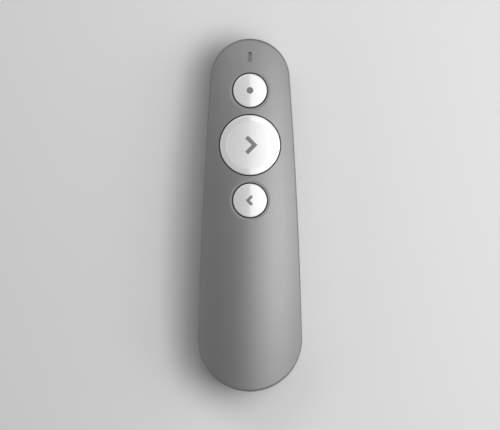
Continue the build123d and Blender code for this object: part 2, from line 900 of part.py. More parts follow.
with BuildPart() as laser_lens:
    # Flat in front and domed behind
    with BuildSketch(Plane.XY.offset(laser_height)):
        with Locations((0, lens_face - lens_thickness + lens_curve)):
            Circle(lens_curve)
        with Locations((lens_radius / 2, lens_face - lens_thickness / 2)):
            Rectangle(lens_radius, lens_thickness, mode=Mode.INTERSECT)
    revolve(axis=Axis((0, 0, laser_height), (0, 1, 0)))

with BuildPart() as laser_diode:
    # Can in the bore, its flange against the barrel and three leads to the driver
    with BuildSketch(Plane.XZ.offset(-barrel_back)):
        with Locations((0, laser_height)):
            Circle(diode_flange_radius)
    extrude(amount=diode_flange)
    with BuildSketch(Plane.XZ.offset(-barrel_back)):
        with Locations((0, laser_height)):
            Circle(diode_radius)
    extrude(amount=-diode_length)
    with BuildSketch(Plane.XZ.offset(diode_flange - barrel_back)):
        with Locations((0, laser_height)):
            with PolarLocations(lead_circle, 3):
                Circle(lead_radius)
    extrude(amount=driver_back_gap)

with BuildPart() as laser_driver:
    with BuildSketch(Plane.XZ.offset(-driver_face)):
        with Locations((0, laser_height)):
            Rectangle(driver_width, driver_tall)
    extrude(amount=driver_thickness)

with BuildPart() as laser_pins:
    with BuildSketch(Plane.XY.offset(laser_height)):
        with Locations((0, driver_face - driver_thickness - pin_width / 2)):
            with GridLocations(pin_pitch, 1, 2, 1):
                Rectangle(pin_width, pin_width)
    extrude(amount=board_floor - laser_height)


# Cells and their contacts
def cell(side, nub_end, way):
    """AAA cell on one side of the bay: its can, from the nub's end back along the bay."""
    with BuildPart() as can:
        with BuildSketch(Plane.XY.offset(cell_height)):
            with BuildLine():
                Polyline(
                    (side, nub_end),
                    (side + nub_radius, nub_end),
                    (side + nub_radius, nub_end - way * nub_length),
                    (side + cell_radius - cell_shoulder, nub_end - way * nub_length),
                    (side + cell_radius, nub_end - way * (nub_length + cell_shoulder)),
                    (side + cell_radius, nub_end - way * (cell_length - cell_heel)),
                    (side + cell_radius - cell_heel, nub_end - way * cell_length),
                    (side, nub_end - way * cell_length),
                    close=True,
                )
            make_face()
        revolve(axis=Axis((side, 0, cell_height), (0, 1, 0)))
    return can


left_nub_end = bay_nose - contact_thickness - contact_bump
right_nub_end = bay_tail + contact_thickness + contact_bump
left_cell = cell(-cell_x, left_nub_end, 1)
right_cell = cell(cell_x, right_nub_end, -1)


def front_contact(side):
    """Plate at the nose end of the bay, with a tab that runs over the board."""
    plate_plane = Plane.XZ.offset(-bay_nose)
    with BuildPart() as contact:
        with BuildSketch(plate_plane):
            with Locations((side, cell_height)):
                Rectangle(plate_width, plate_tall)
            with Locations((side, (cell_height + board_top + contact_thickness) / 2)):
                Rectangle(tab_width, board_top + contact_thickness - cell_height)
        extrude(amount=contact_thickness)
        with BuildSketch(Plane.XY.offset(board_top)):
            with Locations((side, (bay_nose - contact_thickness + tab_end) / 2)):
                Rectangle(tab_width, tab_end - bay_nose + contact_thickness)
        extrude(amount=contact_thickness)
    return contact.part


def spring(side, base_y, way):
    """Tapered coil from a contact plate towards the flat end of a cell."""
    # The wire starts sunk in the plate and ends just short of the cell
    first_turn = 0.6 * wire_radius
    coil_length = spring_length - first_turn - 1.1 * wire_radius
    with BuildPart() as coil:
        with BuildLine():
            path = Helix(
                pitch=coil_length / spring_turns,
                height=coil_length,
                radius=spring_radius,
                center=(side, base_y + way * first_turn, cell_height),
                direction=(0, way, 0),
                cone_angle=-spring_taper,
            )
        with BuildSketch(Plane(path @ 0, z_dir=path % 0)):
            Circle(wire_radius)
        sweep()
    return coil.part


def bump(side, plate_y, way):
    """Raised button on a contact plate, for the nub of a cell."""
    with BuildPart() as button:
        with BuildSketch(Plane((side, plate_y, cell_height), (1, 0, 0), (0, way, 0))):
            Circle(bump_radius)
        extrude(amount=contact_bump, taper=bump_taper)
    return button.part


with BuildPart() as positive_contact:
    add(front_contact(-cell_x))
    add(bump(-cell_x, bay_nose - contact_thickness, -1))

with BuildPart() as negative_contact:
    add(front_contact(cell_x))
    add(spring(cell_x, bay_nose - contact_thickness, -1))

with BuildPart() as bridge_contact:
    with BuildSketch(Plane.XZ.offset(-bay_tail)):
        with Locations((0, cell_height)):
            RectangleRounded(bridge_width, bridge_tall, bridge_corner)
    extrude(amount=-contact_thickness)
    add(bump(cell_x, bay_tail + contact_thickness, 1))
    add(spring(-cell_x, bay_tail + contact_thickness, 1))


# USB receiver
receiver_middle = receiver_floor + receiver_thickness / 2
plug_mouth = -receiver_length / 2
plug_root = plug_mouth + plug_length
tongue_middle = receiver_middle - plug_thickness / 2 + plug_metal + tongue_thickness / 2

with BuildPart() as receiver_cap:
    with BuildSketch(Plane.YZ.offset(plug_root)):
        with Locations((receiver_y, receiver_middle)):
            RectangleRounded(receiver_width, receiver_thickness, receiver_corner)
    extrude(amount=receiver_length - plug_length)
    fillet(receiver_cap.edges().group_by(Axis.X)[-1], receiver_edge)

with BuildPart() as receiver_plug:
    with BuildSketch(Plane.YZ.offset(plug_mouth)):
        with Locations((receiver_y, receiver_middle)):
            Rectangle(plug_width, plug_thickness)
            Rectangle(plug_width - 2 * plug_metal, plug_thickness - 2 * plug_metal, mode=Mode.SUBTRACT)
    extrude(amount=plug_length)
    with BuildSketch(Plane.XY):
        with Locations((plug_mouth + plug_length / 2, receiver_y)):
            with GridLocations(1, plug_hole_pitch, 1, 2):
                Rectangle(plug_hole, plug_hole)
    extrude(amount=height, mode=Mode.SUBTRACT)

with BuildPart() as receiver_tongue:
    with BuildSketch(Plane.YZ.offset(plug_mouth + plug_metal)):
        with Locations((receiver_y, tongue_middle)):
            Rectangle(plug_width - 2 * plug_metal, tongue_thickness)
    extrude(amount=plug_length - plug_metal)


# Screws
def screws(places, seat, way, shank_length):
    """Cross-head screws whose heads rest on a seat, with their shanks along Z in the way given."""
    with BuildPart() as group:
        with BuildSketch(Plane.XY.offset(seat)):
            with Locations(places):
                Circle(screw_head_radius)
        extrude(amount=-way * screw_head_height)
        far_rim = group.edges().group_by(Axis.Z)[0 if way > 0 else -1]
        fillet(far_rim, screw_edge)
        with BuildSketch(Plane.XY.offset(seat - way * screw_head_height)):
            with Locations(places):
                Rectangle(cross_length, cross_width)
                Rectangle(cross_width, cross_length)
        extrude(amount=way * cross_depth, mode=Mode.SUBTRACT)
        with BuildSketch(Plane.XY.offset(seat)):
            with Locations(places):
                Circle(screw_radius)
        extrude(amount=way * shank_length)
        chamfer(group.edges().group_by(Axis.Z)[-1 if way > 0 else 0], screw_tip)
    return group


case_screws = screws(case_screw_places, lug_floor + head_recess, 1, case_shank)
board_screws = screws(board_screw_places, board_top, -1, board_shank)

pieces = {
    "upper_shell": upper_shell,
    "lower_shell": lower_shell,
    "battery_cover": battery_cover,
    "cover_pad": cover_pad,
    "laser_window": laser_window,
    "light_pipe": light_pipe,
    "laser_button": laser_button,
    "laser_mark": laser_mark,
    "next_button": next_button,
    "next_mark": next_mark,
    "back_button": back_button,
    "back_mark": back_mark,
    "circuit_board": circuit_board,
    "laser_switch": laser_switch,
    "laser_switch_plate": laser_switch_plate,
    "laser_stem": laser_stem,
    "laser_dome": laser_dome,
    "next_switch": next_switch,
    "next_switch_plate": next_switch_plate,
    "next_stem": next_stem,
    "next_dome": next_dome,
    "back_switch": back_switch,
    "back_switch_plate": back_switch_plate,
    "back_stem": back_stem,
    "back_dome": back_dome,
    "radio_chip": radio_chip,
    "radio_crystal": radio_crystal,
    "chip_antenna": chip_antenna,
    "power_chip": power_chip,
    "power_coil": power_coil,
    "small_capacitors": small_capacitors,
    "status_led": status_led,
    "laser_barrel": laser_barrel,
    "laser_lens": laser_lens,
    "laser_diode": laser_diode,
    "laser_driver": laser_driver,
    "laser_pins": laser_pins,
    "left_cell": left_cell,
    "right_cell": right_cell,
    "positive_contact": positive_contact,
    "negative_contact": negative_contact,
    "bridge_contact": bridge_contact,
    "receiver_cap": receiver_cap,
    "receiver_plug": receiver_plug,
    "receiver_tongue": receiver_tongue,
    "case_screws": case_screws,
    "board_screws": board_screws,
}

for name, piece in pieces.items():
    piece.part.label = name
    export_step(piece.part, f"parts/{name}.step")
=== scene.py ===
"""Dresses the presentation clicker: its finishes, its fine pieces, and the floor, light and camera.

Every length is in metres, in the packed part's frame: X across the body, +Y towards the nose where
the laser leaves, +Z up out of the buttons, and the belly at Z = 0.
"""

import math

import bmesh
import bpy
from mathutils import Matrix, Vector


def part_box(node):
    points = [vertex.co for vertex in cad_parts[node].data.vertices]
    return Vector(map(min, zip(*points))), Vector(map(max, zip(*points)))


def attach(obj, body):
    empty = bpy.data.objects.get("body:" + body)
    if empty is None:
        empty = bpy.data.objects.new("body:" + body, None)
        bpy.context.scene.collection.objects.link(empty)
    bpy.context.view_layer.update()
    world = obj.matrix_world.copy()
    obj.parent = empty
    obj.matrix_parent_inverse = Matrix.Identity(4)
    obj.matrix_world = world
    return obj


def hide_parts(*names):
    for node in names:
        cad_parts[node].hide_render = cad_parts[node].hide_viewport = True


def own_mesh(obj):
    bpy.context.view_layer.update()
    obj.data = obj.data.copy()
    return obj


bl_info = {
    "name": "Presentation Clicker",
    "version": (1, 0, 0),
    "blender": (4, 5, 0),
    "location": "View3D > Sidebar > Clicker",
    "description": "Finishes and fine pieces of a handheld presentation clicker",
    "category": "Object",
}

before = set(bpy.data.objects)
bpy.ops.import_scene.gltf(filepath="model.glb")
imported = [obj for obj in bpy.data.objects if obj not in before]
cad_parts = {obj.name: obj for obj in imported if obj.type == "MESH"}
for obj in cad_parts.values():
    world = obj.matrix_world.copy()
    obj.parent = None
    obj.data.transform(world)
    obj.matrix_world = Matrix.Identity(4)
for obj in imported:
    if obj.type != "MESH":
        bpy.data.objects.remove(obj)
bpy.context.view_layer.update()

mm = 0.001
up = Vector((0, 0, 1))
nose_way = Vector((0, 1, 0))


# Shader building


def feed(tree, value, socket):
    """Links a socket to another, or writes a plain value on it."""
    if isinstance(value, bpy.types.NodeSocket):
        tree.links.new(value, socket)
    else:
        socket.default_value = value


def math_node(tree, operation, first, second, third=0.0):
    """One Math node on sockets or numbers."""
    node = tree.nodes.new("ShaderNodeMath")
    node.operation = operation
    for value, socket in zip((first, second, third), node.inputs):
        feed(tree, value, socket)
    return node.outputs[0]


def vector_node(tree, operation, first, second):
    """One Vector Math node on sockets or vectors."""
    node = tree.nodes.new("ShaderNodeVectorMath")
    node.operation = operation
    feed(tree, first, node.inputs[0])
    feed(tree, second, node.inputs["Scale"] if operation == "SCALE" else node.inputs[1])
    return node.outputs[0]


def noise_node(tree, place, scale, detail=2.0):
    """Noise between about 0.2 and 0.8, with a number of features per metre."""
    node = tree.nodes.new("ShaderNodeTexNoise")
    feed(tree, place, node.inputs["Vector"])
    feed(tree, scale, node.inputs["Scale"])
    node.inputs["Detail"].default_value = detail
    return node.outputs["Fac"]


def ramp_node(tree, value, low, high):
    """Number that goes from 0 to 1 as a value goes from low to high."""
    node = tree.nodes.new("ShaderNodeMapRange")
    node.inputs["From Min"].default_value = low
    node.inputs["From Max"].default_value = high
    feed(tree, value, node.inputs["Value"])
    return node.outputs[0]


def blend_colours(tree, amount, first, second):
    """Colour that goes from the first to the second as the amount goes from 0 to 1."""
    node = tree.nodes.new("ShaderNodeMix")
    node.data_type = "RGBA"
    feed(tree, amount, node.inputs["Factor"])
    feed(tree, first, node.inputs["A"])
    feed(tree, second, node.inputs["B"])
    return node.outputs["Result"]


def around_zero(tree, noise, spread):
    """Noise turned into a swing about zero of the given spread."""
    return math_node(tree, "MULTIPLY", math_node(tree, "SUBTRACT", noise, 0.5), spread)


def new_group(name, inputs, outputs):
    """Empty node group with its sockets, its entry and its exit."""
    group = bpy.data.node_groups.new(name, "ShaderNodeTree")
    for label, default in inputs.items():
        kind = "NodeSocketColor" if isinstance(default, tuple) else "NodeSocketFloat"
        socket = group.interface.new_socket(label, in_out="INPUT", socket_type=kind)
        socket.default_value = default
    for label in outputs:
        kind = "NodeSocketColor" if label == "Colour" else "NodeSocketFloat"
        group.interface.new_socket(label, in_out="OUTPUT", socket_type=kind)
    entry = group.nodes.new("NodeGroupInput")
    leave = group.nodes.new("NodeGroupOutput")
    return group, entry.outputs, leave.inputs


def surface_place(tree):
    """Where a point of the piece is, in metres."""
    return tree.nodes.new("ShaderNodeTexCoord").outputs["Object"]


def place_axes(tree):
    """X, Y and Z of a point of the piece, in metres."""
    split = tree.nodes.new("ShaderNodeSeparateXYZ")
    feed(tree, surface_place(tree), split.inputs[0])
    return split.outputs


def vary_surface(group, given, result, pattern):
    """Lets a group's tone and gloss swing with a pattern."""
    tone = math_node(group, "ADD", around_zero(group, pattern, given["Tone spread"]), 1.0)
    feed(group, vector_node(group, "SCALE", given["Colour"], tone), result["Colour"])
    gloss = around_zero(group, pattern, given["Roughness spread"])
    feed(group, math_node(group, "ADD", gloss, given["Roughness"]), result["Roughness"])


def moulded_grain():
    """Group for sprayed paint and moulded plastic: a fine grain over slow drifts of tone and gloss."""
    group, given, result = new_group(
        "Moulded grain",
        {
            "Colour": (0.5, 0.5, 0.5, 1.0),
            "Tone spread": 0.1,
            "Grain per metre": 2500.0,
            "Roughness": 0.5,
            "Roughness spread": 0.1,
        },
        ("Colour", "Roughness", "Height"),
    )
    place = surface_place(group)
    drifts_per_metre = 55.0
    fine_share = 0.6
    fine = noise_node(group, place, given["Grain per metre"], detail=3.0)
    broad = noise_node(group, place, drifts_per_metre)
    fine_part = math_node(group, "MULTIPLY", fine, fine_share)
    broad_part = math_node(group, "MULTIPLY", broad, 1 - fine_share)
    vary_surface(group, given, result, math_node(group, "ADD", fine_part, broad_part))
    feed(group, fine, result["Height"])
    return group


def drawn_metal():
    """Group for rolled, drawn or turned metal: streaks along one way, which tone and gloss follow."""
    group, given, result = new_group(
        "Drawn metal",
        {
            "Colour": (0.6, 0.6, 0.6, 1.0),
            "Tone spread": 0.2,
            "Streaks per metre X": 300.0,
            "Streaks per metre Y": 6000.0,
            "Streaks per metre Z": 6000.0,
            "Roughness": 0.3,
            "Roughness spread": 0.2,
        },
        ("Colour", "Roughness", "Height"),
    )
    axes = place_axes(group)
    join = group.nodes.new("ShaderNodeCombineXYZ")
    for way in "XYZ":
        run = math_node(group, "MULTIPLY", axes[way], given[f"Streaks per metre {way}"])
        feed(group, run, join.inputs[way])
    streaks = noise_node(group, join.outputs[0], 1.0, detail=3.0)
    vary_surface(group, given, result, streaks)
    feed(group, streaks, result["Height"])
    return group


def handling_wear():
    """Group for the faint marks of use: where a patch of fine scuffs lies, colour lifts and gloss changes."""
    group, given, result = new_group(
        "Handling wear",
        {
            "Colour": (0.5, 0.5, 0.5, 1.0),
            "Worn colour": (0.6, 0.6, 0.6, 1.0),
            "Roughness": 0.5,
            "Worn roughness": 0.35,
            "Amount": 0.2,
            "Patches per metre": 120.0,
        },
        ("Colour", "Roughness"),
    )
    place = surface_place(group)
    patches = noise_node(group, place, given["Patches per metre"], detail=4.0)
    scuffs_per_metre = (2600.0, 500.0, 2600.0)
    scuffs = noise_node(group, vector_node(group, "MULTIPLY", place, scuffs_per_metre), 1.0)
    patch_edge = (0.52, 0.72)
    chosen = ramp_node(group, patches, *patch_edge)
    mask = math_node(group, "MULTIPLY", chosen, math_node(group, "MULTIPLY", scuffs, given["Amount"]))
    feed(group, blend_colours(group, mask, given["Colour"], given["Worn colour"]), result["Colour"])
    change = math_node(group, "SUBTRACT", given["Worn roughness"], given["Roughness"])
    feed(group, math_node(group, "MULTIPLY_ADD", change, mask, given["Roughness"]), result["Roughness"])
    return group


effects = {}


def use_effect(tree, build, values):
    """Places a shared group, built the first time it is asked for, with its values or links."""
    if build.__name__ not in effects:
        effects[build.__name__] = build()
    node = tree.nodes.new("ShaderNodeGroup")
    node.node_tree = effects[build.__name__]
    for label, value in values.items():
        feed(tree, value, node.inputs[label])
    return node.outputs


def solid_colour(colour):
    """Colour property with the alpha that a shader socket wants."""
    return (*colour, 1.0)


def new_material(name, **shader_values):
    """Material whose own shader already holds the values that are the same all over."""
    material = bpy.data.materials.new(name)
    material.use_nodes = True
    tree = material.node_tree
    shader = tree.nodes["Principled BSDF"]
    for label, value in shader_values.items():
        shader.inputs[label.replace("_", " ")].default_value = value
    return material, tree, shader.inputs


def raise_grain(tree, shader, height, depth):
    """Turns a height into the shader's normal, with the depth in metres."""
    bump = tree.nodes.new("ShaderNodeBump")
    bump.inputs["Distance"].default_value = depth
    feed(tree, height, bump.inputs["Height"])
    feed(tree, bump.outputs["Normal"], shader["Normal"])


def join_shader(tree, shader, skin, height, grain_depth):
    """Gives the shader an effect's colour and roughness, and a height as its grain."""
    feed(tree, skin["Colour"], shader["Base Color"])
    feed(tree, skin["Roughness"], shader["Roughness"])
    raise_grain(tree, shader, height, grain_depth)


def finish(name, build, values, grain_depth, wear=None, **shader_values):
    """Material from one shared effect, with wear over it where it is asked for."""
    material, tree, shader = new_material(name, **shader_values)
    surface = use_effect(tree, build, values)
    skin = surface
    if wear:
        unworn = {label: surface[label] for label in ("Colour", "Roughness")}
        skin = use_effect(tree, handling_wear, {**unworn, **wear})
    join_shader(tree, shader, skin, surface["Height"], grain_depth)
    return material


def grain_values(colour, tone, grain, rough, gloss):
    """Values of the moulded grain: spreads of tone and gloss, grains per metre and roughness."""
    return {
        "Colour": solid_colour(colour),
        "Tone spread": tone,
        "Grain per metre": grain,
        "Roughness": rough,
        "Roughness spread": gloss,
    }


def moulded(name, colour, depth, tone, grain, rough, gloss=0.1, wear=None, **shader_values):
    """Material with the moulded grain, of a depth in metres."""
    values = grain_values(colour, tone, grain, rough, gloss)
    return finish(name, moulded_grain, values, depth, wear, **shader_values)


def drawn(name, colour, depth, rough, tone=0.2, gloss=0.2, streaks=(300, 6000, 6000)):
    """Bare metal, with its streaks per metre along X, Y and Z."""
    values = {f"Streaks per metre {axis}": count for axis, count in zip("XYZ", streaks)}
    values |= {"Colour": solid_colour(colour), "Tone spread": tone}
    values |= {"Roughness": rough, "Roughness spread": gloss}
    return finish(name, drawn_metal, values, depth, Metallic=1.0)


def paint(material, *nodes):
    """Gives CAD nodes one material all over."""
    for node in nodes:
        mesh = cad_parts[node].data
        mesh.materials.clear()
        mesh.materials.append(material)


# Mesh building


def new_piece(name, mesh_data, material, body):
    """Object from mesh code, on its body and with its material."""
    mesh = bpy.data.meshes.new(name)
    bmesh.ops.recalc_face_normals(mesh_data, faces=mesh_data.faces)
    mesh_data.to_mesh(mesh)
    mesh_data.free()
    mesh.materials.append(material)
    piece = bpy.data.objects.new(name, mesh)
    bpy.context.scene.collection.objects.link(piece)
    mesh.shade_smooth()
    mesh.set_sharp_from_angle(angle=math.radians(35))
    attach(piece, body)
    return piece


def bevel_edges(piece, width):
    """Rounds a piece's edges with a modifier."""
    bevel = piece.modifiers.new("Rounded edges", "BEVEL")
    bevel.width = width
    bevel.segments = 2
    bevel.limit_method = "ANGLE"
    bevel.angle_limit = math.radians(40)
    bevel.harden_normals = True


def add_prism(mesh_data, outline, base, height_way):
    """Closed prism: an outline of points, set at a base and drawn along a vector."""
    low = [mesh_data.verts.new(base + Vector(point)) for point in outline]
    high = [mesh_data.verts.new(vert.co + height_way) for vert in low]
    mesh_data.faces.new(low)
    mesh_data.faces.new(high)
    for index, vert in enumerate(low):
        after = (index + 1) % len(low)
        mesh_data.faces.new((vert, low[after], high[after], high[index]))


def add_block(mesh_data, place_x, place_y, across, along, floor, tall):
    """Block that stands on a floor, about a place in the XY plane."""
    half_across, half_along = across / 2, along / 2
    outline = [
        (-half_across, -half_along, 0),
        (half_across, -half_along, 0),
        (half_across, half_along, 0),
        (-half_across, half_along, 0),
    ]
    add_prism(mesh_data, outline, Vector((place_x, place_y, floor)), up * tall)


def add_lathe(mesh_data, profile, start, way, turns=96):
    """Turned form: (distance, radius) pairs along a way, both ends on the axis or in one point."""
    side = way.orthogonal().normalized()
    rings = []
    for distance, radius in profile:
        middle = start + way * distance
        if radius == 0:
            rings.append([mesh_data.verts.new(middle)] * turns)
            continue
        spokes = (Matrix.Rotation(math.tau * step / turns, 3, way) @ side for step in range(turns))
        rings.append([mesh_data.verts.new(middle + spoke * radius) for spoke in spokes])
    for near, far in zip(rings, rings[1:]):
        for step in range(turns):
            after = (step + 1) % turns
            corners = [near[step], near[after], far[after], far[step]]
            mesh_data.faces.new(list(dict.fromkeys(corners)))


def close_loop(profile):
    """Profile that ends where it starts, for a ring with a hole through it."""
    return profile + profile[:1]


def add_ring(mesh_data, hole, radius, tall, foot, way, turns=96):
    """Flat ring that stands on its foot along a way."""
    profile = [(0, hole), (0, radius), (tall, radius), (tall, hole)]
    add_lathe(mesh_data, close_loop(profile), foot, way, turns)


# What a user can change


def colour_setting(name, description, default):
    """Colour with its swatch."""
    return bpy.props.FloatVectorProperty(
        name=name, description=description, subtype="COLOR", size=3, min=0, max=1, default=default
    )


def share_setting(name, description, default):
    """Share from 0 to 1, with a slider."""
    return bpy.props.FloatProperty(
        name=name, description=description, subtype="FACTOR", min=0, max=1, default=default
    )


def length_setting(name, description, default):
    """Length in the scene's units."""
    return bpy.props.FloatProperty(
        name=name, description=description, subtype="DISTANCE", unit="LENGTH", default=default
    )


def strength_setting(name, description, default):
    """Strength of a light."""
    return bpy.props.FloatProperty(name=name, description=description, min=0, default=default)


class ClickerBodySettings(bpy.types.PropertyGroup):
    """Paint of the shells and the battery cover."""

    paint_colour: colour_setting("Paint", "Colour of the sprayed paint on the shells", (0.19, 0.19, 0.19))
    paint_roughness: share_setting("Paint roughness", "How matt the paint is", 0.4)
    grain_size: length_setting("Grain size", "Distance from one grain of the paint to the next", 0.4 * mm)
    grain_depth: length_setting("Grain depth", "Height of the paint's grain", 0.004 * mm)
    foam_colour: colour_setting("Foam", "Colour of the foam pad in the battery cover", (0.03, 0.03, 0.03))


class ClickerButtonSettings(bpy.types.PropertyGroup):
    """Caps of the three buttons and the marks let into them."""

    cap_colour: colour_setting("Caps", "Colour of the button caps", (0.66, 0.66, 0.66))
    cap_roughness: share_setting("Cap roughness", "How matt the plastic under the caps' clear skin is", 0.25)
    polish: share_setting("Polish", "How much of the clear skin covers the caps", 1.0)
    # Painted shade: colour of a cap below its white skin, so that the gap round each button looks shaded
    gap_shade_colour: colour_setting(
        "Skirts", "Colour of the black plastic below a cap's white skin", (0.012, 0.012, 0.012)
    )
    dish_radius: length_setting("Dish radius", "Radius of the matt thumb dish in the large cap", 9.3 * mm)
    mark_colour: colour_setting("Marks", "Colour of the marks in the caps", (0.16, 0.16, 0.16))


class ClickerLightSettings(bpy.types.PropertyGroup):
    """Status light, its lens and the laser's window."""

    lens_colour: colour_setting("Status lens", "Colour of the smoked lens in the slot", (0.16, 0.16, 0.16))
    window_colour: colour_setting("Laser window", "Tint of the window in the nose", (0.16, 0.012, 0.012))
    brass_colour: colour_setting("Laser barrel", "Colour of the turned brass barrel", (0.72, 0.5, 0.2))


class ClickerBoardSettings(bpy.types.PropertyGroup):
    """Circuit board and what is soldered to it."""

    mask_colour: colour_setting(
        "Solder mask", "Colour of the lacquer over the bare board", (0.012, 0.09, 0.035)
    )
    gold_colour: colour_setting("Pads", "Colour of the gilded pads", (0.83, 0.6, 0.26))
    trace_width: length_setting("Trace width", "Width of a copper trace under the lacquer", 0.3 * mm)
    trace_height: length_setting("Trace height", "How far a trace stands up under the lacquer", 0.04 * mm)


class ClickerPowerSettings(bpy.types.PropertyGroup):
    """Cells, contacts, screws and the stored receiver."""

    sleeve_colour: colour_setting(
        "Cell sleeve", "Main colour of a cell's printed sleeve", (0.035, 0.04, 0.045)
    )
    band_colour: colour_setting(
        "Cell band", "Colour of the band at the cell's positive end", (0.55, 0.56, 0.57)
    )
    band_length: length_setting("Band length", "Length of the band at the cell's positive end", 11 * mm)
    steel_colour: colour_setting(
        "Plated steel", "Colour of the nickel plated contacts, cans and shields", (0.6, 0.59, 0.57)
    )
    receiver_colour: colour_setting("Receiver cap", "Colour of the USB receiver's cap", (0.02, 0.02, 0.02))


class ClickerStageSettings(bpy.types.PropertyGroup):
    """Floor, lamps and camera."""

    floor_colour: colour_setting("Floor", "Colour of the plain floor", (0.68, 0.68, 0.68))
    fill_level: strength_setting("Fill level", "Strength of the even light from all round", 0.06)
    key_radiance: strength_setting(
        "Key radiance", "Brightness of the brightest strip of the large lamp above the right side", 6.2
    )
    nose_radiance: strength_setting("Nose radiance", "Base brightness of the two lamps above the nose", 1.3)
    tail_radiance: strength_setting("Tail radiance", "Brightness of the lamp above the tail", 0.8)
    right_radiance: strength_setting("Right radiance", "Brightness of the upright lamp on the right", 1.6)
    left_radiance: strength_setting("Left radiance", "Brightness of the upright lamp on the left", 0.76)
    under_radiance: strength_setting(
        "Under radiance", "Brightness of the lamp below the floor, which lights the belly", 2.6
    )
    lamp_height: length_setting("Lamp height", "Height of the overhead lamps over the floor", 0.6)
    lens_length: bpy.props.FloatProperty(
        name="Lens", description="Focal length in millimetres", min=1, default=400.0
    )


settings_classes = {
    "clicker_body": ClickerBodySettings,
    "clicker_buttons": ClickerButtonSettings,
    "clicker_lights": ClickerLightSettings,
    "clicker_board": ClickerBoardSettings,
    "clicker_power": ClickerPowerSettings,
    "clicker_stage": ClickerStageSettings,
}


# Finishes that several pieces share


def find_or_make(name, make):
    """A material by its name, made the first time it is asked for."""
    return bpy.data.materials.get(name) or make(name)


def plated_steel():
    """Nickel plated spring steel and stampings."""
    steel = bpy.context.scene.clicker_power.steel_colour
    return find_or_make("Plated steel", lambda name: drawn(name, steel, 0.002 * mm, rough=0.28, gloss=0.25))


def gilded_pads():
    """Gold flash over copper."""
    gold = bpy.context.scene.clicker_board.gold_colour
    return find_or_make("Gilded pads", lambda name: drawn(name, gold, 0.001 * mm, rough=0.3, tone=0.12))


def moulded_resin():
    """Black filled resin of chips and switches."""
    wear = {"Worn colour": (0.06, 0.06, 0.06, 1.0), "Amount": 0.3}
    values = {"tone": 0.5, "grain": 9000, "rough": 0.55, "wear": wear}
    black = (0.022, 0.022, 0.023)
    return find_or_make("Moulded resin", lambda name: moulded(name, black, 0.004 * mm, **values))


def solder_metal():
    """Dull tin of a soldered joint."""
    values = {"tone": 0.25, "grain": 7000, "rough": 0.32, "Metallic": 1.0}
    tin = (0.5, 0.5, 0.51)
    return find_or_make("Solder", lambda name: moulded(name, tin, 0.004 * mm, **values))


# Operators, one for each piece or group of like pieces


class CLICKER_OT_shells(bpy.types.Operator):
    """Paints the upper shell, the lower shell and the battery cover"""

    bl_idname = "clicker.shells"
    bl_label = "Paint shells"

    def execute(self, context):
        body = context.scene.clicker_body
        shell_paint = moulded(
            "Body paint",
            body.paint_colour,
            body.grain_depth,
            tone=0.16,
            grain=1 / body.grain_size,
            rough=body.paint_roughness,
            gloss=0.12,
            wear={"Worn colour": (0.23, 0.23, 0.23, 1.0), "Worn roughness": 0.3, "Amount": 0.25},
            Metallic=0.2,
            Specular_IOR_Level=1.0,
        )
        paint(shell_paint, "upper_shell", "lower_shell", "battery_cover")
        return {"FINISHED"}


class CLICKER_OT_cover_pad(bpy.types.Operator):
    """Makes the foam pad that keeps the cells quiet in the battery cover"""

    bl_idname = "clicker.cover_pad"
    bl_label = "Make cover pad"

    def execute(self, context):
        body = context.scene.clicker_body
        low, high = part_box("cover_pad")
        foam, tree, shader = new_material("Open foam", Roughness=0.95)
        cells_per_metre = 2200.0
        cells = tree.nodes.new("ShaderNodeTexVoronoi")
        cells.inputs["Scale"].default_value = cells_per_metre
        feed(tree, surface_place(tree), cells.inputs["Vector"])
        # Painted shade: the foam is darkened in its pores and lightened on the cell walls between them
        stretch, pore_painted_shade, wall_painted_light = 1.6, 0.35, 1.5
        depth = math_node(tree, "MULTIPLY", cells.outputs["Distance"], stretch)
        dark = solid_colour([value * pore_painted_shade for value in body.foam_colour])
        light = solid_colour([value * wall_painted_light for value in body.foam_colour])
        feed(tree, blend_colours(tree, depth, dark, light), shader["Base Color"])
        raise_grain(tree, shader, depth, 0.15 * mm)
        middle = (low + high) / 2
        size = high - low
        mesh_data = bmesh.new()
        rows, columns = 34, 18
        crown = 0.12 * mm
        corner_cut = 0.035
        grid = {}
        for top in (False, True):
            for row in range(rows + 1):
                for column in range(columns + 1):
                    along = 2 * row / rows - 1
                    across = 2 * column / columns - 1
                    sag = crown * max(along**6, across**6) if top else 0
                    corner = 1 - corner_cut * (along**8 * across**8)
                    point = (
                        middle.x + size.x / 2 * across * corner,
                        middle.y + size.y / 2 * along * corner,
                        (high.z - sag) if top else low.z,
                    )
                    grid[top, row, column] = mesh_data.verts.new(point)
        for top in (False, True):
            for row in range(rows):
                for column in range(columns):
                    square = ((row, column), (row + 1, column), (row + 1, column + 1), (row, column + 1))
                    mesh_data.faces.new([grid[top, *place] for place in square])
        rim = [(0, column) for column in range(columns)]
        rim += [(row, columns) for row in range(rows)]
        rim += [(rows, column) for column in range(columns, 0, -1)]
        rim += [(row, 0) for row in range(rows, 0, -1)]
        for index, place in enumerate(rim):
            after = rim[(index + 1) % len(rim)]
            mesh_data.faces.new(
                (grid[False, *place], grid[False, *after], grid[True, *after], grid[True, *place])
            )
        pad = new_piece("foam_pad", mesh_data, foam, "cover")
        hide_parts("cover_pad")
        return {"FINISHED"}


